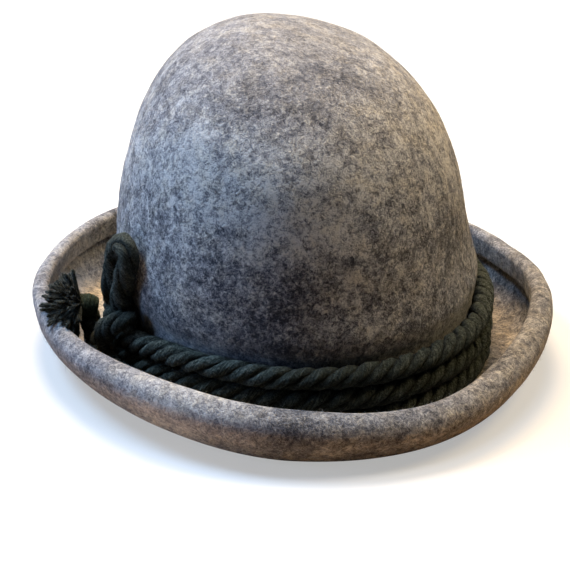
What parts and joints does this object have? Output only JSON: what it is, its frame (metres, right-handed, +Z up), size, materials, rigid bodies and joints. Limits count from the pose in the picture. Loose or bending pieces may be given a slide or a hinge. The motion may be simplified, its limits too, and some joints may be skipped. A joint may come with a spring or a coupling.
{
  "type": "tyrolean hat",
  "caption": "Soft felt hat with a tall round crown, a narrow brim curled up all round with a turned-in hem, and a twisted wool cord with a loop and a tassel.",
  "frame": {"origin": "middle of the hat's outline, on the plane that the brim rests on", "axes": "+Z up through the crown, +Y along the head oval's long axis, -X towards the side with the cord's loop and tassel"},
  "size_m": [0.254, 0.277, 0.164],
  "materials": {
    "felt": "heather-grey wool felt, matt and slightly hairy",
    "green_wool": "very dark green twisted wool, matt",
    "knot_wool": "dark moss-green wound wool, matt"
  },
  "bodies": {
    "root": {"felt_body": "felt", "wool_cord": "green_wool", "cord_hitch": "green_wool", "end_knot": "knot_wool", "cord_tassel": "green_wool"}
  },
  "joints": []
}
